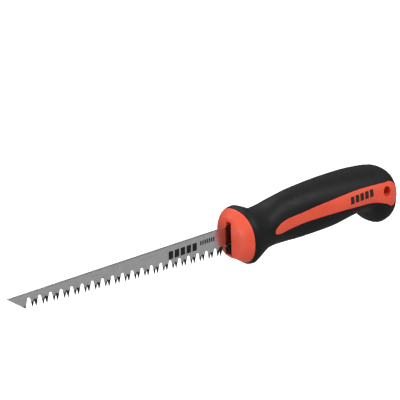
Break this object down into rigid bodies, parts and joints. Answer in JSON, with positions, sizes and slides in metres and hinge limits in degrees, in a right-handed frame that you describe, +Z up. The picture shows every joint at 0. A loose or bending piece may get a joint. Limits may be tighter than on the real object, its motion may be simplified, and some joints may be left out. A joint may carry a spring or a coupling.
{
  "type": "drywall saw",
  "caption": "Pointed jab saw for plasterboard: a stiff tapered steel blade with coarse teeth in a moulded plastic handle with a soft rubber grip and a hooked pommel.",
  "frame": {"origin": "middle of the saw's overall box", "axes": "+X from the blade's point to the butt of the handle, +Z up on the side of the blade's plain spine, Y across the handle"},
  "size_m": [0.3092, 0.0392, 0.0514],
  "materials": {
    "blade_steel": "satin, with dark ground tooth bevels",
    "core_plastic": "smooth moulded, slightly glossy",
    "grip_rubber": "matte, fine-grained"
  },
  "bodies": {
    "root": {"blade": "blade_steel", "handle_core": "core_plastic", "grip_overmould": "grip_rubber"}
  },
  "joints": []
}
